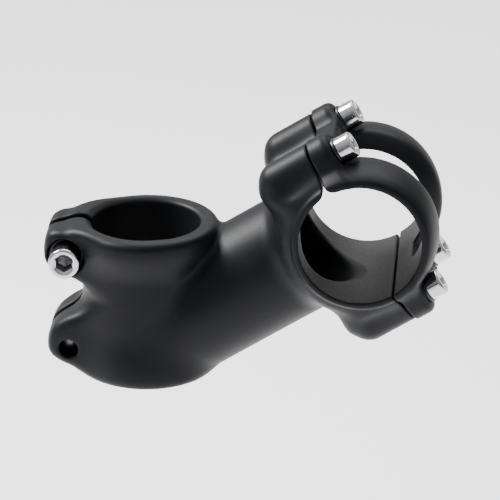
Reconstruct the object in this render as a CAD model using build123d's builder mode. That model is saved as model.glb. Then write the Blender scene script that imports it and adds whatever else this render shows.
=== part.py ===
"""Threadless handlebar stem with a four-bolt open faceplate. Millimetres.

Origin on the steerer axis at the clamp's bottom face; +Z up the steerer, +X towards the bar.
"""
import os
from math import cos, radians, sin

from build123d import *

# Driving sizes
extension = 67.0
rise = 31.6
clamp_height = 41.7
axis_height = 44.1
steerer_diameter = 28.6
bar_diameter = 31.8
cradle_width = 43.8

# Steerer clamp
foot_wall = 4.0
waist_wall = 2.5
rim_wall = 4.9
foot_round = 3.0
rim_round = 2.0
rim_rise = 0.7
rim_lead = 0.9
slot_width = 2.6
ear_half_width = 10.0
ear_root_width = 12.6
upper_pinch_offset = 6.0
upper_pinch_height = 34.2
lower_pinch_offset = 5.7
lower_pinch_height = 8.4
ear_length = 12.0
spot_face_offset = 6.8
spot_face_radius = 4.8
pinch_radius = 2.5
pinch_head_radius = 4.1
pinch_head_length = 7.0
pinch_length = 13.5
pinch_hex = 4.0

# Extension tube
tube_radius = 16.0
tube_cavity_radius = 13.0
cavity_end = 36.0

# Handlebar clamp
split_gap = 0.5
lobe_radius = 5.7
lobe_side = 11.0
flank_inset = 0.3
saddle_wall = 7.3
horn_inset = 0.3
horn_root_wall = 2.7
shoulder_wall = 1.7
hub_wall = 7.3
hub_lip_wall = 1.8
bolt_offset = 6.1
bolt_side = 12.0
boss_depth = 6.1
boss_radius = 6.1
boss_side = 11.3
web_wall = 9.1
ring_wall = 4.1
ring_crown = 9.8
window_half = 6.0
web_relief = 0.6
plate_radius = 2.0
plate_head_radius = 3.5
plate_head_length = 4.2
plate_length = 16.0
plate_hex = 3.0

# Shared hardware sizes
running = 0.05
washer_thickness = 0.8
washer_margin = 0.35

run = extension * cos(radians(rise))
forward = Vector(cos(radians(rise)), 0, sin(radians(rise)))
upward = Vector(-sin(radians(rise)), 0, cos(radians(rise)))
bar_centre = Vector(run, 0, axis_height)
steerer_radius = steerer_diameter / 2
bar_radius = bar_diameter / 2
half_width = cradle_width / 2
foot_radius = steerer_radius + foot_wall
waist_radius = steerer_radius + waist_wall
rim_radius = steerer_radius + rim_wall
ear_reach = steerer_radius + ear_length
upper_pinch = (-steerer_radius - upper_pinch_offset, upper_pinch_height)
lower_pinch = (-steerer_radius - lower_pinch_offset, lower_pinch_height)
saddle_height = bar_radius + saddle_wall
horn_back = bar_radius - horn_inset
horn_root = bar_radius + horn_root_wall
shoulder_height = bar_radius + shoulder_wall
hub_radius = bar_radius + hub_wall
hub_lip_radius = bar_radius + hub_lip_wall
bolt_rise = bar_radius + bolt_offset
web_height = bar_radius + web_wall
ring_radius = bar_radius + ring_wall
ear_top = clamp_height - rim_rise
flank_width = half_width - flank_inset
clamp_side = Plane(origin=bar_centre, x_dir=forward, z_dir=(0, -1, 0))
clamp_end = Plane(origin=bar_centre, x_dir=(0, 1, 0), z_dir=forward)
bar_axis = Axis(bar_centre, (0, 1, 0))


def at_clamp(along, across, height):
    """Point given along the tube, across the stem and above the clamp axis."""
    return bar_centre + forward * along + Vector(0, across, 0) + upward * height


def along_y(x, z):
    """Plane at a height on the stem's centre whose normal runs towards -Y."""
    return Plane(origin=(x, 0, z), x_dir=(1, 0, 0), z_dir=(0, -1, 0))


# Solids of the forging before it is bored
with BuildPart() as barrel:
    with BuildSketch(Plane.XZ):
        with BuildLine():
            foot_start = foot_radius - foot_round
            Line((0, 0), (foot_start, 0))
            RadiusArc((foot_start, 0), (foot_radius, foot_round), -foot_round)
            Spline(
                (foot_radius, foot_round),
                (waist_radius, clamp_height * 0.52),
                (rim_radius, clamp_height - rim_round),
                tangents=((0, 1), (0, 1)),
            )
            RadiusArc(
                (rim_radius, clamp_height - rim_round),
                (rim_radius - rim_round, clamp_height),
                -rim_round,
            )
            Line((rim_radius - rim_round, clamp_height), (0, clamp_height))
            Line((0, clamp_height), (0, 0))
        make_face()
    revolve(axis=Axis.Z)

with BuildPart() as ear_plan:
    with BuildSketch(Plane.XY) as plan_outline:
        with BuildLine():
            Polyline(
                (0, ear_root_width + 3.2),
                (-ear_reach + 16.8, ear_root_width + 0.9),
                (-ear_reach + 8.8, ear_root_width - 1.6),
                (-ear_reach + 2.4, ear_half_width + 0.4),
                (-ear_reach, ear_half_width - 1.6),
                (-ear_reach, 0),
                (0, 0),
                close=True,
            )
        make_face()
        outer_corners = plan_outline.vertices().sort_by(Axis.Y)[2:].sort_by(Axis.X)[:3]
        fillet(outer_corners, 3.0)
        mirror(about=Plane.XZ)
    extrude(amount=clamp_height)

with BuildPart() as upper_ear:
    with BuildSketch(Plane.XZ) as upper_outline:
        with BuildLine():
            Polyline(
                (-8, ear_top),
                (-ear_reach + 3.0, ear_top),
                (-ear_reach, ear_top - 4.6),
                (-ear_reach, ear_top - 9.4),
                (-ear_reach + 4.6, ear_top - 12.8),
                (-ear_reach + 10.9, ear_top - 14.4),
                (-8, ear_top - 18.0),
                close=True,
            )
        make_face()
        fillet(upper_outline.vertices().sort_by(Axis.X)[:4], 2.6)
    extrude(amount=ear_root_width + 3, both=True)
    add(ear_plan.part, mode=Mode.INTERSECT)

with BuildPart() as lower_ear:
    with BuildSketch(Plane.XZ) as lower_outline:
        with BuildLine():
            Polyline(
                (-8, 0.8),
                (-ear_reach + 13.3, 1.4),
                (-ear_reach + 4.6, 3.9),
                (-ear_reach + 0.4, 7.2),
                (-ear_reach + 0.4, 10.2),
                (-ear_reach + 4.0, 14.2),
                (-ear_reach + 10.1, 18.0),
                (-8, 22.0),
                close=True,
            )
        make_face()
        fillet(lower_outline.vertices().sort_by(Axis.X)[:4], 2.6)
    extrude(amount=ear_root_width + 3, both=True)
    add(ear_plan.part, mode=Mode.INTERSECT)

with BuildPart() as tube:
    with BuildSketch(clamp_end.offset(-62)):
        Circle(tube_radius)
    extrude(amount=50)
    split(bisect_by=Plane.XY.offset(0.6), keep=Keep.TOP)

with BuildPart() as hub:
    with BuildSketch(Plane(origin=bar_centre, x_dir=(0, 1, 0), z_dir=upward)) as hub_outline:
        with BuildLine():
            Polyline(
                (-half_width, 0),
                (-half_width, hub_lip_radius),
                (-half_width + 1.2, hub_lip_radius + 1.4),
                (-tube_radius + 1.0, hub_radius),
                (tube_radius - 1.0, hub_radius),
                (half_width - 1.2, hub_lip_radius + 1.4),
                (half_width, hub_lip_radius),
                (half_width, 0),
                close=True,
            )
        make_face()
        fillet(hub_outline.vertices().group_by(Axis.X)[0], 4.0)
    revolve(axis=bar_axis)

with BuildPart() as horns:
    with BuildSketch(clamp_side) as horn_outline:
        with BuildLine():
            Polyline(
                (0, bolt_rise + lobe_radius),
                (-horn_back, bolt_rise + lobe_radius),
                (-horn_root, shoulder_height),
                (-8.0, 12.0),
                (0, 12.0),
                close=True,
            )
        make_face()
        fillet(horn_outline.vertices().group_by(Axis.X)[1], 4.6)
        mirror(about=Plane.XZ)
    extrude(amount=flank_width, both=True)
    with BuildSketch(clamp_end):
        with GridLocations(2 * lobe_side, 2 * bolt_rise, 2, 2):
            Circle(lobe_radius)
        Rectangle(2 * lobe_side, 2 * saddle_height)
        with BuildLine():
            Polyline(
                (0, saddle_height),
                (lobe_side + lobe_radius, bolt_rise),
                (flank_width - 2.4, shoulder_height + 0.8),
                (flank_width, shoulder_height - 1.0),
                (flank_width, 0),
                (0, 0),
                close=True,
            )
        make_face()
        mirror(about=Plane.XZ)
        mirror(about=Plane.YZ)
    extrude(amount=-30, mode=Mode.INTERSECT)
    with BuildSketch(Plane(origin=bar_centre, x_dir=forward, z_dir=upward)) as horn_plan:
        with BuildLine():
            Polyline(
                (0, flank_width),
                (-6.0, flank_width),
                (-12.5, lobe_side + lobe_radius),
                (-horn_root, lobe_side),
                (-horn_root, 0),
                (0, 0),
                close=True,
            )
        make_face()
        fillet(horn_plan.vertices().sort_by(Axis.X)[1:4], 3.0)
        mirror(about=Plane.XZ)
    extrude(amount=60, both=True, mode=Mode.INTERSECT)

# The stem body: one forging, then every bore, hole, slot and seat
with BuildPart() as stem_body:
    add(barrel.part)
    add(upper_ear.part)
    add(lower_ear.part)
    add(tube.part)
    add(hub.part)
    add(horns.part)
    split(bisect_by=clamp_end.offset(-split_gap / 2), keep=Keep.BOTTOM)
    Cylinder(
        steerer_radius,
        clamp_height,
        align=(Align.CENTER, Align.CENTER, Align.MIN),
        mode=Mode.SUBTRACT,
    )
    with Locations((0, 0, ear_top)):
        Cone(
            steerer_radius,
            steerer_radius + rim_lead,
            rim_rise,
            align=(Align.CENTER, Align.CENTER, Align.MIN),
            mode=Mode.SUBTRACT,
        )
    with BuildSketch(Plane.XY) as pinch_slot:
        with Locations((-20, 0)):
            Rectangle(40, slot_width)
    extrude(amount=clamp_height, mode=Mode.SUBTRACT)
    with BuildSketch(clamp_end.offset(-cavity_end)):
        Circle(tube_cavity_radius)
    extrude(amount=cavity_end + 5, mode=Mode.SUBTRACT)
    with BuildSketch(clamp_side):
        Circle(bar_radius)
    extrude(amount=half_width, both=True, mode=Mode.SUBTRACT)
    with BuildSketch(clamp_end):
        with GridLocations(2 * bolt_side, 2 * bolt_rise, 2, 2):
            Circle(plate_radius + running)
    extrude(amount=-13, mode=Mode.SUBTRACT)
    for centre, side in ((upper_pinch, 1), (lower_pinch, -1)):
        pinch = along_y(*centre)
        with BuildSketch(pinch):
            Circle(pinch_radius + running)
        extrude(amount=2 * ear_half_width, both=True, mode=Mode.SUBTRACT)
        with BuildSketch(pinch.offset(side * spot_face_offset)):
            Circle(spot_face_radius)
        extrude(amount=side * 10, mode=Mode.SUBTRACT)

# The faceplate: two rings, a web at each end of the window and four bosses
with BuildPart() as faceplate:
    with BuildSketch(Plane(origin=bar_centre, x_dir=(0, 1, 0), z_dir=upward)) as rings:
        with BuildLine():
            Polyline(
                (-window_half, bar_radius),
                (-half_width + 0.5, bar_radius),
                (-half_width, bar_radius + 0.5),
                (-half_width, bar_radius + 1.6),
            )
            Spline(
                (-half_width, bar_radius + 1.6),
                (-half_width + 2.8, ring_radius - 1.5),
                (-ring_crown, ring_radius),
                tangents=((0, 1), (1, 0)),
            )
            Spline(
                (-ring_crown, ring_radius),
                (-ring_crown + 1.6, ring_radius - 0.9),
                (-window_half, bar_radius + 0.6),
                tangents=((1, 0), (0.6, -0.5)),
            )
            Line((-window_half, bar_radius + 0.6), (-window_half, bar_radius))
        make_face()
        mirror(about=Plane.YZ)
    revolve(axis=bar_axis)
    split(bisect_by=clamp_end.offset(split_gap / 2), keep=Keep.TOP)
    with BuildSketch(clamp_end.offset(split_gap / 2)):
        with GridLocations(2 * boss_side, 2 * bolt_rise, 2, 2):
            Circle(boss_radius)
        with GridLocations(0, web_height + bar_radius - 1, 1, 2):
            Rectangle(2 * bolt_side, web_height - bar_radius + 1)
        with GridLocations(2 * boss_side, bolt_rise + bar_radius - 1, 2, 2):
            Rectangle(2 * boss_radius, bolt_rise - bar_radius + 1)
    extrude(amount=boss_depth - split_gap / 2)
    with BuildSketch(clamp_side):
        Circle(bar_radius)
    extrude(amount=half_width, both=True, mode=Mode.SUBTRACT)
    with BuildSketch(clamp_side):
        Circle(bar_radius + web_relief)
    extrude(amount=window_half, both=True, mode=Mode.SUBTRACT)
    with BuildSketch(clamp_end):
        with GridLocations(2 * bolt_side, 2 * bolt_rise, 2, 2):
            Circle(plate_radius + 0.25)
    extrude(amount=boss_depth, mode=Mode.SUBTRACT)
    with BuildSketch(clamp_end.offset(boss_depth)):
        with GridLocations(2 * bolt_side, 2 * bolt_rise, 2, 2):
            Circle(plate_head_radius + washer_margin + 0.45)
    extrude(amount=12, mode=Mode.SUBTRACT)


def socket_bolt(seat, head_radius, head_length, shank_radius, shank_length, hex_size):
    """Socket-head bolt on the plane under its head, whose normal points out of the head."""
    rounding = 0.12 * head_radius
    with BuildPart() as bolt:
        with BuildSketch(seat):
            Circle(head_radius)
        extrude(amount=head_length)
        top = bolt.faces().sort_by(Axis(seat.origin, seat.z_dir))[-1]
        fillet(top.edges(), rounding)
        with BuildSketch(seat.offset(head_length)):
            RegularPolygon(hex_size / 2, 6, major_radius=False)
        extrude(amount=-0.6 * head_length, mode=Mode.SUBTRACT)
        with BuildSketch(seat):
            Circle(shank_radius)
        extrude(amount=-shank_length)
        tip = bolt.faces().sort_by(Axis(seat.origin, seat.z_dir))[0]
        chamfer(tip.edges(), 0.25 * shank_radius)
    return bolt.part


def flat_washer(seat, shank_radius, head_radius):
    """Washer standing on a plane, under a bolt's head."""
    with BuildPart() as washer:
        with BuildSketch(seat):
            Circle(head_radius + washer_margin)
            Circle(shank_radius + running, mode=Mode.SUBTRACT)
        extrude(amount=washer_thickness)
    return washer.part


pieces = {"stem_body": stem_body.part, "faceplate": faceplate.part}
corners = {
    "upper_near": (-bolt_side, bolt_rise),
    "upper_far": (bolt_side, bolt_rise),
    "lower_near": (-bolt_side, -bolt_rise),
    "lower_far": (bolt_side, -bolt_rise),
}
for corner, (across, height) in corners.items():
    face = Plane(origin=at_clamp(boss_depth, across, height), x_dir=(0, 1, 0), z_dir=forward)
    head_seat = face.offset(washer_thickness)
    pieces["plate_washer_" + corner] = flat_washer(face, plate_radius, plate_head_radius)
    pieces["plate_bolt_" + corner] = socket_bolt(
        head_seat, plate_head_radius, plate_head_length, plate_radius, plate_length, plate_hex
    )
for level, centre, side in (("upper", upper_pinch, -1), ("lower", lower_pinch, 1)):
    spot_face = Plane(
        origin=(centre[0], side * spot_face_offset, centre[1]),
        x_dir=(1, 0, 0),
        z_dir=(0, side, 0),
    )
    head_seat = spot_face.offset(washer_thickness)
    pieces["pinch_washer_" + level] = flat_washer(spot_face, pinch_radius, pinch_head_radius)
    pieces["pinch_bolt_" + level] = socket_bolt(
        head_seat, pinch_head_radius, pinch_head_length, pinch_radius, pinch_length, pinch_hex
    )

os.makedirs("parts", exist_ok=True)
for name, piece in pieces.items():
    piece.label = name
    export_step(piece, "parts/" + name + ".step")
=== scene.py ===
"""Handlebar stem: the visual model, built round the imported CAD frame."""

import math

import bpy
import numpy as np
from mathutils import Matrix, Vector


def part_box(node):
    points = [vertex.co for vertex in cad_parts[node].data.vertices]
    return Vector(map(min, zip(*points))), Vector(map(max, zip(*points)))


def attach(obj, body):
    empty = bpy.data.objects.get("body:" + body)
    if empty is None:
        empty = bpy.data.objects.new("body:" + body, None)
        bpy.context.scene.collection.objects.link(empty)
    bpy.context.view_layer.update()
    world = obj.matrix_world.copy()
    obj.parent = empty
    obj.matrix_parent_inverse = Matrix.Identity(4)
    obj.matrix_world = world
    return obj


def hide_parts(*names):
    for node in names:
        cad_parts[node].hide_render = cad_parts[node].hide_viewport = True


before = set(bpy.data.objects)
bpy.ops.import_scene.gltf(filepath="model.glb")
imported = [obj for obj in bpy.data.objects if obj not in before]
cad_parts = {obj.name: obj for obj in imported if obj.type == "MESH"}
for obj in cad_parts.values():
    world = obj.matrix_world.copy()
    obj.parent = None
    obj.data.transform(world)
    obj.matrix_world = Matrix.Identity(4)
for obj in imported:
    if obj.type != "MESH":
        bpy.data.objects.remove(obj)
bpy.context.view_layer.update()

MM = 0.001

# ---------------------------------------------------------------- sizes, in millimetres
RISE = math.radians(31.6)
EXTENSION = 67.0
STACK = 41.7
BAR_X, BAR_Z = EXTENSION * math.cos(RISE), 44.1
STEERER_R, BAR_R = 14.3, 15.9
HALF_WIDTH = 21.9
WAIST_R, RIM_FLARE, FOOT_FLARE = 16.8, 2.4, 1.5
TUBE_R, TUBE_BACK, TUBE_FRONT = 16.0, 66.0, 10.0
CAVITY_R, CAVITY_END, CAVITY_MOUTH = 13.0, 36.0, 2.0
SPLIT_HALF, SLOT_HALF = 0.25, 1.3
RUNNING = 0.05
WASHER, WASHER_MARGIN = 0.8, 0.35

# bolts: head radius and height, shank radius and length, hexagon across flats, thread pitch
PLATE_BOLT = {"head": (3.5, 4.2), "shank": (2.0, 16.0), "hex_size": 3.0, "pitch": 0.7}
PINCH_BOLT = {"head": (4.1, 7.0), "shank": (2.5, 13.5), "hex_size": 4.0, "pitch": 0.8}

# faceplate bolts, their lobes on the stem and their bosses on the plate, from the bar's axis
BOLT_SIDE, BOLT_RISE = 12.0, 22.0
LOBE_SIDE, LOBE_R, LOBE_BACK = 11.0, 5.7, 11.1
BOSS_SIDE, BOSS_R, BOSS_DEPTH = 11.3, 6.1, 6.1
BOLT_HOLE_END = 13.0
PLATE_SEAT_R, PLATE_HOLE_R = 4.25, 2.25

# pinch bolts: place of each axis in x and z, and their spot faces
UPPER_PINCH, LOWER_PINCH = (-20.3, 34.2), (-20.0, 8.4)
SPOT_FACE, SPOT_R = 6.8, 4.95

# the faceplate's window and its cross web
WINDOW_HALF, WEB_HALF, WEB_TOP, WEB_FLOOR = 6.0, 13.0, 24.8, 14.0

# rounding of edges and blending of junctions
RIM_ROUND, FOOT_ROUND, EAR_ROUND, TUBE_ROUND = 2.6, 3.0, 2.8, 2.0
TUBE_BLEND, EAR_BLEND, CLAMP_BLEND, LOBE_BLEND = 2.4, 4.0, 3.6, 3.0
BORE_EDGE, RIM_BEVEL, RIM_BEVEL_SLOPE = 0.4, 0.9, 1.2

# open sides of an outline lie further out than the solid reaches
OUT = 30.0

# outlines, anticlockwise: ears in plan (x, across) and from the side (x, z)
EAR_PLAN = [(-27.3, -OUT), (4.0, -OUT), (4.0, 13.4), (-4.0, 15.0)]
EAR_PLAN += [(-11.0, 13.0), (-18.0, 11.8), (-24.6, 10.9), (-27.3, 9.0)]
UPPER_EAR = [(-27.3, 31.6), (-22.8, 28.0), (-15.4, 26.4), (8.0, 20.0)]
UPPER_EAR += [(8.0, 41.2), (-24.8, 41.2), (-27.3, 37.6)]
LOWER_EAR = [(-26.8, 6.6), (-22.4, 3.2), (-13.0, 1.2), (8.0, 0.4)]
LOWER_EAR += [(8.0, 26.0), (-16.0, 19.6), (-22.6, 16.4), (-26.2, 12.0)]

# handlebar clamp: hub and lip turned about the bar (across, radius)
HUB = [(-OUT, 0.0), (21.2, 0.0), (21.2, 18.2), (15.6, 22.8), (-OUT, 22.8)]
LIP = [(-OUT, 0.0), (HALF_WIDTH, 0.0), (HALF_WIDTH, 17.6), (19.0, 18.0), (-OUT, 18.0)]

# base of the lobes: (across, above), (behind the bar, above) and (behind the bar, across)
BASE_END = [(-OUT, -OUT), (21.5, -OUT), (21.5, 16.6), (16.6, 21.4), (12.0, 23.0), (-OUT, 23.0)]
BASE_SIDE = [(0.0, -OUT), (18.9, -OUT), (18.9, 15.0), (16.6, 23.4), (10.0, 26.0), (0.0, 26.0)]
BASE_PLAN = [(-5.0, -OUT), (18.9, -OUT), (18.9, 12.0), (14.5, 18.4), (8.0, 22.0), (-5.0, 22.0)]

# faceplate: one ring turned about the bar (across, radius) and its flank (across, above)
RING = [(WINDOW_HALF, 10.0), (HALF_WIDTH, 10.0), (HALF_WIDTH, 17.5), (20.4, 18.7)]
RING += [(15.0, 20.1), (9.8, 20.2), (8.2, 19.3), (WINDOW_HALF, 16.4)]
FLANK = [(-OUT, -OUT), (21.7, -OUT), (21.7, 16.6), (16.2, 22.6), (-OUT, 22.6)]


# ---------------------------------------------------------------- smooth solid modelling
def smin(a, b, k):
    """Union of two distance fields with a blend of size k."""
    h = np.clip(0.5 + 0.5 * (b - a) / k, 0.0, 1.0)
    return b * (1 - h) + a * h - k * h * (1 - h)


def smax(a, b, k):
    """Intersection of two distance fields with a rounding of size k."""
    return -smin(-a, -b, k)


def ramp(x):
    """Smooth step from 0 to 1 as x goes from 0 to 1."""
    x = np.clip(x, 0.0, 1.0)
    return x * x * (3 - 2 * x)


def convex(p, q, corners, k):
    """Distance to a convex outline, corners given anticlockwise, with rounded corners."""
    d = None
    for (x0, y0), (x1, y1) in zip(corners, corners[1:] + corners[:1]):
        length = math.hypot(x1 - x0, y1 - y0)
        side = ((p - x0) * (y1 - y0) - (q - y0) * (x1 - x0)) / length
        d = side if d is None else smax(d, side, k)
    return d


def to_clamp(x, z):
    """Distances along the extension tube and above it, measured from the bar's axis."""
    along = (x - BAR_X) * math.cos(RISE) + (z - BAR_Z) * math.sin(RISE)
    above = -(x - BAR_X) * math.sin(RISE) + (z - BAR_Z) * math.cos(RISE)
    return along, above


# ---------------------------------------------------------------- stem body
def barrel_field(rho, z):
    """Waisted steerer clamp with a lip at the top and a flared foot; rho is from the steerer axis."""
    radius = WAIST_R + RIM_FLARE * ramp((z - 29.0) / 9.5) + FOOT_FLARE * ramp((15.0 - z) / 12.0)
    return smax(rho - radius, z - STACK, RIM_ROUND)


def tube_field(y, n, u):
    """Round extension tube."""
    tube = smax(np.hypot(y, u) - TUBE_R, -TUBE_BACK - n, TUBE_ROUND)
    return smax(tube, n + TUBE_FRONT, TUBE_ROUND)


def ears_field(x, ay, z):
    """The two ears behind the steerer, for the pinch bolts."""
    plan = convex(x, ay, EAR_PLAN, 2.4)
    upper = convex(x, z, UPPER_EAR, EAR_ROUND)
    lower = convex(x, z, LOWER_EAR, EAR_ROUND)
    return smin(smax(upper, plan, EAR_ROUND), smax(lower, plan, EAR_ROUND), 1.5)


def cradle_field(n, ay, au, bar):
    """Rear half of the handlebar clamp: hub, lip, base and the lobes round the bolts."""
    hub = convex(ay, bar, HUB, 3.0)
    lip = convex(ay, bar, LIP, 0.9)
    base = smax(convex(ay, au, BASE_END, 2.4), convex(-n, au, BASE_SIDE, 2.5), 2.0)
    base = smax(base, convex(-n, ay, BASE_PLAN, 3.0), 2.0)
    away = np.maximum(-LOBE_BACK - n, 0.0)
    lobe = np.sqrt((ay - LOBE_SIDE) ** 2 + (au - BOLT_RISE) ** 2 + away**2) - LOBE_R
    return smin(smin(smin(hub, base, 1.6), lip, 1.0), lobe, LOBE_BLEND)


def split_corner(u, most):
    """Rounding where the bar's bore meets the split: large above the bar, nearly sharp below it."""
    return 0.7 + most * ramp(u / 8 + 0.5)


def bar_cut(y, n, u, bar):
    """Bar's bore, the split in front of the stem and the hollow inside the tube."""
    cavity = smax(np.hypot(y, u) - CAVITY_R, -CAVITY_END - n, 4.0)
    cavity = smax(cavity, n + CAVITY_MOUTH, 0.5)
    cut = smin(bar - BAR_R, -SPLIT_HALF - n, split_corner(u, 2.5))
    return smin(cut, cavity, 1.6)


def steerer_cut(rho, x, ay, z):
    """Steerer's bore with its bevelled top edge, and the slot between the ears."""
    below_rim = np.maximum(STACK - z, -1.0)
    bevel = rho - STEERER_R - RIM_BEVEL + below_rim * RIM_BEVEL_SLOPE
    slot = smax(ay - SLOT_HALF, x, 0.5)
    return smin(smin(rho - STEERER_R, bevel, 0.5), slot, 0.8)


def stem_field(x, y, z):
    """Distance field of the forged and machined stem body."""
    n, u = to_clamp(x, z)
    ay, au = np.abs(y), np.abs(u)
    rho = np.hypot(x, y)
    bar = np.hypot(n, u)
    d = smin(barrel_field(rho, z), tube_field(y, n, u), TUBE_BLEND)
    d = smin(d, ears_field(x, ay, z), EAR_BLEND)
    d = smin(d, cradle_field(n, ay, au, bar), CLAMP_BLEND)
    d = smax(d, -z, FOOT_ROUND)
    d = smax(d, -bar_cut(y, n, u, bar), BORE_EDGE)
    d = smax(d, -steerer_cut(rho, x, ay, z), 0.7)
    for (px, pz), side in ((UPPER_PINCH, -1), (LOWER_PINCH, 1)):
        reach = np.hypot(x - px, z - pz)
        seat = smax(reach - SPOT_R, SPOT_FACE - y * side, 0.5)
        d = smax(d, PINCH_BOLT["shank"][0] + RUNNING - reach, BORE_EDGE)
        d = smax(d, -seat, 0.9)
    reach = np.hypot(ay - BOLT_SIDE, au - BOLT_RISE)
    hole = smax(reach - PLATE_BOLT["shank"][0] - RUNNING, -BOLT_HOLE_END - n, 0.3)
    return smax(d, -hole, 0.3)


# ---------------------------------------------------------------- faceplate
def plate_field(x, y, z):
    """Distance field of the faceplate: two rings, their flanks, the cross webs and four bosses."""
    n, u = to_clamp(x, z)
    ay, au = np.abs(y), np.abs(u)
    bar = np.hypot(n, u)
    web = smax(smax(ay - WEB_HALF, au - WEB_TOP, 1.5), n - BOSS_DEPTH, 1.6)
    flank = smax(convex(ay, au, FLANK, 1.5), n - BOSS_DEPTH, 1.6)
    flank = smax(flank, WINDOW_HALF - ay, 1.0)
    boss = np.hypot(ay - BOSS_SIDE, au - BOLT_RISE) - BOSS_R
    boss = smax(boss, n - BOSS_DEPTH, 2.4)
    d = smin(smin(web, flank, 1.5), boss, 1.8)
    d = smax(d, WEB_FLOOR - au, 0.5)
    d = smin(d, convex(ay, bar, RING, 0.8), 1.6)
    cut = smin(bar - BAR_R, n - SPLIT_HALF, split_corner(u, 2.3))
    d = smax(d, -cut, BORE_EDGE)
    reach = np.hypot(ay - BOLT_SIDE, au - BOLT_RISE)
    seat = smax(reach - PLATE_SEAT_R, BOSS_DEPTH - n, 0.3)
    d = smax(d, -seat, 0.5)
    return smax(d, PLATE_HOLE_R - reach, 0.3)


# ---------------------------------------------------------------- meshing
def surface(field, low, high, step):
    """Quad mesh on a field's zero surface: one vertex per crossed cell, then moved onto it."""
    values = sampled(field, low, high, step)
    inside = values < 0
    corners = [np.array(c) for c in np.ndindex(2, 2, 2)]
    span = [size - 1 for size in inside.shape]
    count = np.zeros(span, np.int8)
    for i, j, k in np.ndindex(2, 2, 2):
        count += inside[i : i + span[0], j : j + span[1], k : k + span[2]]
    cells = np.argwhere((count > 0) & (count < 8))
    index = np.full(count.shape, -1, np.int64)
    index[tuple(cells.T)] = np.arange(len(cells))
    points = np.array(low) + step * crossing_means(values, cells, corners)
    quads = quads_across(inside, index)
    return settled(field, points, step), quads


def sampled(field, low, high, step):
    """Field's values on a regular grid, worked out a few layers at a time."""
    layers = 24
    axes = [np.arange(a, b + step, step) for a, b in zip(low, high)]
    values = np.empty([len(a) for a in axes], np.float32)
    for start in range(0, len(axes[0]), layers):
        part = np.meshgrid(axes[0][start : start + layers], axes[1], axes[2], indexing="ij")
        values[start : start + layers] = field(*part)
    return values


def crossing_means(values, cells, corners):
    """Mean of the places where each cell's edges cross the surface, in grid steps."""
    total = np.zeros((len(cells), 3))
    crossings = np.zeros(len(cells))
    for a in corners:
        for axis in range(3):
            if a[axis]:
                continue
            b = a.copy()
            b[axis] = 1
            va = values[tuple((cells + a).T)]
            vb = values[tuple((cells + b).T)]
            hit = (va < 0) != (vb < 0)
            t = np.where(hit, va / np.where(hit, va - vb, 1.0), 0.0)
            point = cells + a + (b - a) * t[:, None]
            total += point * hit[:, None]
            crossings += hit
    return total / crossings[:, None]


def quads_across(inside, index):
    """One quad round each grid edge that crosses the surface, facing outwards."""
    quads = []
    for axis in range(3):
        one, two = [i for i in range(3) if i != axis]
        if axis == 1:
            one, two = two, one
        first = [slice(None)] * 3
        second = [slice(None)] * 3
        first[axis] = slice(0, -1)
        second[axis] = slice(1, None)
        change = inside[tuple(first)] != inside[tuple(second)]
        edge = np.argwhere(change)
        keep = (edge[:, one] > 0) & (edge[:, two] > 0)
        edge = edge[keep]
        ring = []
        for da, db in ((0, 0), (1, 0), (1, 1), (0, 1)):
            cell = edge.copy()
            cell[:, one] -= da
            cell[:, two] -= db
            ring.append(index[tuple(cell.T)])
        quad = np.stack(ring, 1)
        flip = ~inside[tuple(edge.T)]
        quad[flip] = quad[flip][:, ::-1]
        quads.append(quad)
    return np.concatenate(quads)


def settled(field, points, step):
    """Points moved onto the surface along the field's slope, in four short steps."""
    eps = 0.02
    for _ in range(4):
        here = field(*points.T)
        slopes = [(field(*(points + d).T) - field(*(points - d).T)) / (2 * eps) for d in np.eye(3) * eps]
        grad = np.stack(slopes, 1)
        scale = np.maximum((grad**2).sum(1), 0.25)
        move = -(here / scale)[:, None] * grad
        points += np.clip(move, -0.5 * step, 0.5 * step)
    return points


def mesh_piece(name, points, quads, body, nodes):
    """Smooth mesh piece that rides on a body and stands for some CAD nodes."""
    mesh = bpy.data.meshes.new(name)
    mesh.vertices.add(len(points))
    mesh.vertices.foreach_set("co", (points * MM).astype(np.float32).ravel())
    mesh.loops.add(quads.size)
    mesh.loops.foreach_set("vertex_index", quads.astype(np.int32).ravel())
    mesh.polygons.add(len(quads))
    mesh.polygons.foreach_set("loop_start", np.arange(0, quads.size, 4, dtype=np.int32))
    mesh.polygons.foreach_set("use_smooth", np.ones(len(quads), bool))
    mesh.update(calc_edges=True)
    mesh.validate()
    piece = bpy.data.objects.new(name, mesh)
    bpy.context.scene.collection.objects.link(piece)
    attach(piece, body)
    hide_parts(*nodes)
    return piece


# ---------------------------------------------------------------- turned pieces
SEGMENTS = 96


def turned(profile):
    """Grid of points, one ring for each (radius, height); a radius may be a function of angle."""
    angle = np.linspace(0, 2 * math.pi, SEGMENTS, endpoint=False)
    rings = []
    for radius, height in profile:
        r = radius(angle) if callable(radius) else np.full(SEGMENTS, radius)
        rings.append(np.stack([r * np.cos(angle), r * np.sin(angle), np.full(SEGMENTS, height)], 1))
    points = np.concatenate(rings)
    rows = np.arange(len(profile) - 1)[:, None] * SEGMENTS
    cols = np.arange(SEGMENTS)[None, :]
    after = (cols + 1) % SEGMENTS
    above = rows + SEGMENTS
    quads = np.stack([rows + cols, rows + after, above + after, above + cols], -1)
    return points, quads.reshape(-1, 4)


def hexagon(across_flats):
    """Radius of a hexagon as a function of angle."""

    def radius(angle):
        part = (angle + math.pi / 6) % (math.pi / 3) - math.pi / 6
        return across_flats / 2 / np.cos(part)

    return radius


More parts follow.
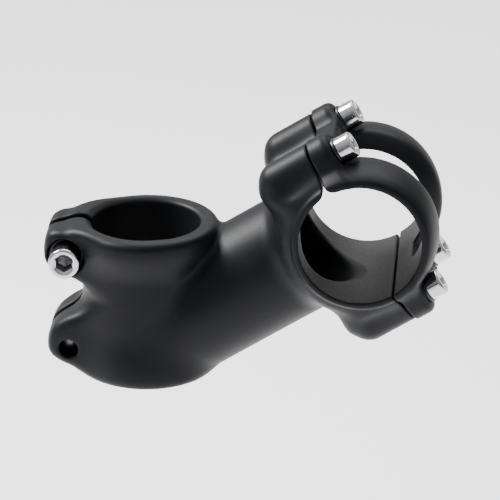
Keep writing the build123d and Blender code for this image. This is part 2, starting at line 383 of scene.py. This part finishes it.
def thread_rings(shank_r, length, pitch):
    """Rings of the shank's tip and of the screw thread above it, which fades in over its first turn."""
    depth = 0.6 * pitch
    rings_per_turn = 6
    start = -length + 0.35
    rings = []
    for i in range(int((length - 0.9) / pitch * rings_per_turn)):
        height = start + i * pitch / rings_per_turn

        def radius(angle, height=height):
            phase = (height / pitch - angle / (2 * math.pi)) % 1.0
            ridge = np.clip(1.15 - 2.3 * np.abs(phase - 0.5), 0, 1)
            fade = min(1.0, (height - start) / pitch)
            return shank_r - depth + depth * ridge * (0.35 + 0.65 * fade)

        rings.append((radius, height))
    return [(0.001, -length), (shank_r - depth - 0.1, -length)] + rings


def socket_rings(head_h, hex_size):
    """Rings of the hexagon socket, from below its chamfered mouth down to its floor."""
    mouth = hexagon(hex_size)
    rings = [(hexagon(hex_size * 1.04), head_h - 0.55), (mouth, head_h - 0.65)]
    rings += [(mouth, head_h * 0.5), (mouth, head_h * 0.42)]
    return rings + [(hexagon(hex_size * 0.92), head_h * 0.4), (0.001, head_h * 0.4 - 0.5)]


# places of the bolt's three materials in its list: plated steel, then the socket and the thread darkened
# with painted shade
PLATED, SOCKET, THREAD = 0, 1, 2
MOUTH_RATIO = 1.42


def bolt_profile(head_r, head_h, shank_r, length, hex_size, pitch):
    """Rings of a socket-head bolt, tip to socket floor, and the material of each step between rings."""
    rings = thread_rings(shank_r, length, pitch)
    rings += [(shank_r - 0.02, -0.45), (shank_r - 0.02, -0.02)]
    thread_end = len(rings)
    rings += [(head_r - 0.35, 0.0), (head_r - 0.08, 0.05)]
    rings += [(head_r, 0.2), (head_r, 0.35), (head_r, head_h * 0.5)]
    bend = 0.62
    rings.append((head_r, head_h - bend - 0.1))
    for i in range(8):
        a = i / 7 * math.pi / 2
        rings.append((head_r - bend + bend * math.cos(a), head_h - bend + bend * math.sin(a)))
    mouth = hex_size / 2 * MOUTH_RATIO
    rings += [(mouth + 0.25, head_h), (mouth + 0.04, head_h), (mouth - 0.03, head_h - 0.05)]
    socket_start = len(rings)
    rings += socket_rings(head_h, hex_size)
    steps = np.arange(len(rings) - 1)
    zones = np.where(steps < thread_end, THREAD, np.where(steps >= socket_start, SOCKET, PLATED))
    return rings, zones


def washer_profile(inner, outer, height):
    """Closed section of a washer with its edges broken."""
    edge = 0.14
    return [
        (inner, edge),
        (inner + edge, 0.0),
        (outer - edge, 0.0),
        (outer - 0.3 * edge, 0.3 * edge),
        (outer, edge),
        (outer, height - edge),
        (outer - 0.3 * edge, height - 0.3 * edge),
        (outer - edge, height),
        (inner + edge, height),
        (inner, height - edge),
        (inner, edge),
    ]


def placed(points, origin, axis):
    """Points of a turned piece moved to its seat, its height running along axis."""
    axis = np.array(axis) / np.linalg.norm(axis)
    side = np.cross([0.0, 1.0, 0.0] if abs(axis[1]) < 0.9 else [0.0, 0.0, 1.0], axis)
    side /= np.linalg.norm(side)
    turn = np.stack([side, np.cross(axis, side), axis])
    return points @ turn + np.array(origin)


# ---------------------------------------------------------------- materials
def principled(name):
    """New material and its node tree's parts."""
    material = bpy.data.materials.new(name)
    material.use_nodes = True
    nodes = material.node_tree.nodes
    return material, nodes, material.node_tree.links, nodes["Principled BSDF"]


def noise(nodes, links, scale, detail, roughness, source):
    """Noise texture over the given coordinates."""
    tex = nodes.new("ShaderNodeTexNoise")
    tex.inputs["Scale"].default_value = scale
    tex.inputs["Detail"].default_value = detail
    tex.inputs["Roughness"].default_value = roughness
    links.new(source, tex.inputs["Vector"])
    return tex.outputs["Fac"]


def spread(nodes, links, value, low, high, low_in=0.3, high_in=0.7):
    """Value carried from one range to another."""
    node = nodes.new("ShaderNodeMapRange")
    node.inputs["From Min"].default_value = low_in
    node.inputs["From Max"].default_value = high_in
    node.inputs["To Min"].default_value = low
    node.inputs["To Max"].default_value = high
    links.new(value, node.inputs["Value"])
    return node.outputs["Result"]


def tint(nodes, links, value, dark, light):
    """Colour between two tones, chosen by a value."""
    node = nodes.new("ShaderNodeValToRGB")
    node.color_ramp.elements[0].position = 0.3
    node.color_ramp.elements[0].color = (*dark, 1)
    node.color_ramp.elements[1].position = 0.7
    node.color_ramp.elements[1].color = (*light, 1)
    links.new(value, node.inputs["Fac"])
    return node.outputs["Color"]


def bump(nodes, links, height, strength, distance, normal=None):
    """Surface relief, on top of another where one is given."""
    node = nodes.new("ShaderNodeBump")
    node.inputs["Strength"].default_value = strength
    node.inputs["Distance"].default_value = distance
    links.new(height, node.inputs["Height"])
    if normal is not None:
        links.new(normal, node.inputs["Normal"])
    return node.outputs["Normal"]


def black_finish():
    """Satin black anodised forging over a fine bead blast."""
    m, nodes, links, shader = principled("satin_black")
    coord = nodes.new("ShaderNodeTexCoord").outputs["Object"]
    patches = noise(nodes, links, 60.0, 3.0, 0.5, coord)
    grain = noise(nodes, links, 2200.0, 2.0, 0.6, coord)
    peel = noise(nodes, links, 480.0, 3.0, 0.5, coord)
    colour = tint(nodes, links, patches, (0.0040, 0.0044, 0.0058), (0.0064, 0.0067, 0.0082))
    links.new(colour, shader.inputs["Base Color"])
    mix = nodes.new("ShaderNodeMath")
    mix.operation = "ADD"
    links.new(spread(nodes, links, patches, 0.0, 0.05), mix.inputs[0])
    links.new(spread(nodes, links, grain, 0.40, 0.48), mix.inputs[1])
    links.new(mix.outputs[0], shader.inputs["Roughness"])
    normal = bump(nodes, links, peel, 0.12, 0.00012)
    normal = bump(nodes, links, grain, 0.28, 0.00005, normal)
    links.new(normal, shader.inputs["Normal"])
    shader.inputs["Specular IOR Level"].default_value = 0.15
    return m


def machined_finish():
    """Bored faces: dull dark grey with a fine grain."""
    m, nodes, links, shader = principled("machined_black")
    coord = nodes.new("ShaderNodeTexCoord").outputs["Object"]
    grain = noise(nodes, links, 1800.0, 3.0, 0.6, coord)
    patches = noise(nodes, links, 90.0, 3.0, 0.5, coord)
    colour = tint(nodes, links, patches, (0.0105, 0.0105, 0.0115), (0.0150, 0.0150, 0.0160))
    links.new(colour, shader.inputs["Base Color"])
    links.new(spread(nodes, links, grain, 0.46, 0.6), shader.inputs["Roughness"])
    links.new(bump(nodes, links, grain, 0.2, 0.00005), shader.inputs["Normal"])
    shader.inputs["Specular IOR Level"].default_value = 0.34
    return m


def chrome_finish(name, colour, low, high):
    """Steel with fine wear in its gloss, from bright plating to dark copies that paint shade onto the
    washers, sockets and threads.
    """
    m, nodes, links, shader = principled(name)
    coord = nodes.new("ShaderNodeTexCoord").outputs["Object"]
    patches = noise(nodes, links, 300.0, 4.0, 0.6, coord)
    fine = noise(nodes, links, 2600.0, 2.0, 0.5, coord)
    dark = tuple(0.9 * c for c in colour)
    links.new(tint(nodes, links, patches, dark, colour), shader.inputs["Base Color"])
    links.new(spread(nodes, links, patches, low, high), shader.inputs["Roughness"])
    links.new(bump(nodes, links, fine, 0.06, 0.00003), shader.inputs["Normal"])
    shader.inputs["Metallic"].default_value = 1.0
    return m


satin = black_finish()
machined = machined_finish()
chrome = chrome_finish("plated_bolt", (0.62, 0.62, 0.64), 0.09, 0.20)
# washers kept near black as painted shadow, standing for the dark gap between boss and bolt head
washer_shadow_paint = chrome_finish("washer_painted_shadow", (0.050, 0.050, 0.055), 0.30, 0.42)
# socket interior kept dark grey as painted shade in the recess
socket_shade_paint = chrome_finish("bolt_socket_painted_shade", (0.30, 0.30, 0.31), 0.24, 0.36)
# thread and tip kept dark grey as painted shade down the bolt holes
thread_shade_paint = chrome_finish("bolt_thread_painted_shade", (0.20, 0.20, 0.21), 0.34, 0.46)


# ---------------------------------------------------------------- pieces
GRID = 0.42
PLATE_GRID = GRID * 0.85


def margin(node):
    """Corners of a node's box, in millimetres, with room round it."""
    room = 1.5
    low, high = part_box(node)
    return [v / MM - room for v in low], [v / MM + room for v in high]


low, high = margin("stem_body")
points, quads = surface(stem_field, low, high, GRID)
body = mesh_piece("stem_forging", points, quads, "stem", ["stem_body"])
low, high = margin("faceplate")
points, quads = surface(plate_field, low, high, PLATE_GRID)
plate = mesh_piece("faceplate_forging", points, quads, "plate", ["faceplate"])


# faces this close to the bore's radius count as bored
BORE_PAINT = 0.06


def paint_bores(piece):
    """Gives the faces of the bar bore the machined finish."""
    mesh = piece.data
    mesh.materials.append(satin)
    mesh.materials.append(machined)
    centre = np.empty(len(mesh.polygons) * 3)
    mesh.polygons.foreach_get("center", centre)
    x, y, z = (centre.reshape(-1, 3) / MM).T
    n, u = to_clamp(x, z)
    bored = np.hypot(n, u) < BAR_R + BORE_PAINT
    mesh.polygons.foreach_set("material_index", bored.astype(np.int32))
    mesh.update()


paint_bores(body)
paint_bores(plate)

FORWARD = (math.cos(RISE), 0.0, math.sin(RISE))
UPWARD = (-math.sin(RISE), 0.0, math.cos(RISE))


def at_clamp(along, across, above):
    """Point given by its distances from the bar's centre, as x, y and z."""
    return (
        BAR_X + FORWARD[0] * along + UPWARD[0] * above,
        across,
        BAR_Z + FORWARD[2] * along + UPWARD[2] * above,
    )


def fastener(group, corner, seat, axis, head, shank, hex_size, pitch):
    """A bolt and its washer at a seat, standing for the two CAD nodes."""
    (head_r, head_h), (shank_r, length) = head, shank
    points, quads = turned(washer_profile(shank_r + RUNNING, head_r + WASHER_MARGIN, WASHER))
    washer = mesh_piece(
        f"{group}_shim_{corner}",
        placed(points, seat, axis),
        quads,
        f"washer_{group}_{corner}",
        [f"{group}_washer_{corner}"],
    )
    # the washer takes the near-black painted-shadow material
    washer.data.materials.append(washer_shadow_paint)
    profile, zones = bolt_profile(head_r, head_h, shank_r, length, hex_size, pitch)
    points, quads = turned(profile)
    above = tuple(s + a * WASHER for s, a in zip(seat, axis))
    bolt = mesh_piece(
        f"{group}_screw_{corner}",
        placed(points, above, axis),
        quads,
        f"bolt_{group}_{corner}",
        [f"{group}_bolt_{corner}"],
    )
    # socket and thread materials carry painted shade
    for finish in (chrome, socket_shade_paint, thread_shade_paint):
        bolt.data.materials.append(finish)
    bolt.data.polygons.foreach_set("material_index", np.repeat(zones, SEGMENTS).astype(np.int32))


for level, above_bar in (("upper", 1), ("lower", -1)):
    for end, side in (("near", -1), ("far", 1)):
        seat = at_clamp(BOSS_DEPTH, side * BOLT_SIDE, above_bar * BOLT_RISE)
        fastener("plate", f"{level}_{end}", seat, FORWARD, **PLATE_BOLT)
for level, (px, pz), side in (("upper", UPPER_PINCH, -1), ("lower", LOWER_PINCH, 1)):
    fastener("pinch", level, (px, side * SPOT_FACE, pz), (0.0, side, 0.0), **PINCH_BOLT)


# ---------------------------------------------------------------- studio
def flat(name, size, place, material):
    """Square stage surface, facing up."""
    half = size / 2
    mesh = bpy.data.meshes.new(name)
    corners = [(-half, -half, 0), (half, -half, 0), (half, half, 0), (-half, half, 0)]
    mesh.from_pydata(corners, [], [(0, 1, 2, 3)])
    mesh.materials.append(material)
    obj = bpy.data.objects.new(name, mesh)
    obj.location = place
    bpy.context.scene.collection.objects.link(obj)


floor_material, nodes, links, shader = principled("studio_floor")
shader.inputs["Base Color"].default_value = (0.95, 0.95, 0.95, 1)
shader.inputs["Roughness"].default_value = 0.9
shader.inputs["Emission Color"].default_value = (1, 1, 1, 1)
shader.inputs["Emission Strength"].default_value = 0.75
FLOOR_SIZE, FLOOR_DROP = 6.0, 0.2
flat("floor", FLOOR_SIZE, (0, 0, -FLOOR_DROP), floor_material)


def sky(base, top, toward):
    """World light that grows towards one direction."""
    world = bpy.data.worlds.new("studio")
    bpy.context.scene.world = world
    world.use_nodes = True
    nodes, links = world.node_tree.nodes, world.node_tree.links
    coord = nodes.new("ShaderNodeTexCoord")
    dot = nodes.new("ShaderNodeVectorMath")
    dot.operation = "DOT_PRODUCT"
    dot.inputs[1].default_value = Vector(toward).normalized()
    links.new(coord.outputs["Generated"], dot.inputs[0])
    strength = spread(nodes, links, dot.outputs["Value"], base, top, -0.4, 1.0)
    links.new(strength, nodes["Background"].inputs["Strength"])
    nodes["Background"].inputs["Color"].default_value = (1, 1, 1, 1)


sky(0.12, 1.0, (-0.3, 0.5, 0.8))


def softbox(name, place, target, size, power):
    """Rectangular light aimed at a point."""
    light = bpy.data.lights.new(name, "AREA")
    light.shape = "RECTANGLE"
    light.size, light.size_y = size
    light.energy = power
    obj = bpy.data.objects.new(name, light)
    obj.location = place
    direction = Vector(target) - Vector(place)
    obj.rotation_euler = direction.to_track_quat("-Z", "Y").to_euler()
    bpy.context.scene.collection.objects.link(obj)


AIM = (0.025, 0.0, 0.03)
softbox("key", (-0.60, 0.22, 0.62), AIM, (0.34, 0.34), 20.0)
softbox("overhead", (0.15, 0.55, 0.85), AIM, (0.8, 0.6), 7.0)
softbox("front", (0.5, -0.9, 0.35), AIM, (0.5, 0.5), 0.5)

# ---------------------------------------------------------------- camera
# EYE is the camera's place to the right of, above and back from a datum on the steerer's axis
AZIMUTH, ELEVATION, ROLL = (math.radians(v) for v in (4.10, 22.14, -0.30))
DATUM = Vector((0, 0, 41.0)) * MM
FOCAL_PX, SENSOR, WIDTH_PX = 4520.66, 36.0, 500.0
EYE = Vector((27.25, -7.51, 1184.14)) * MM
level_back = Vector((math.sin(AZIMUTH), -math.cos(AZIMUTH), 0.0))
back = level_back * math.cos(ELEVATION) + Vector((0.0, 0.0, math.sin(ELEVATION)))
right = Vector((math.cos(AZIMUTH), math.sin(AZIMUTH), 0.0))
up = back.cross(right)
turned_right = right * math.cos(ROLL) + up * math.sin(ROLL)
turned_up = up * math.cos(ROLL) - right * math.sin(ROLL)
place = turned_right * EYE.x + turned_up * EYE.y + back * EYE.z + DATUM
data = bpy.data.cameras.new("camera")
data.lens = FOCAL_PX / WIDTH_PX * SENSOR
data.sensor_width = SENSOR
camera = bpy.data.objects.new("camera", data)
rotation = Matrix((turned_right, turned_up, back)).transposed().to_4x4()
camera.matrix_world = Matrix.Translation(place) @ rotation
bpy.context.scene.collection.objects.link(camera)
bpy.context.scene.camera = camera
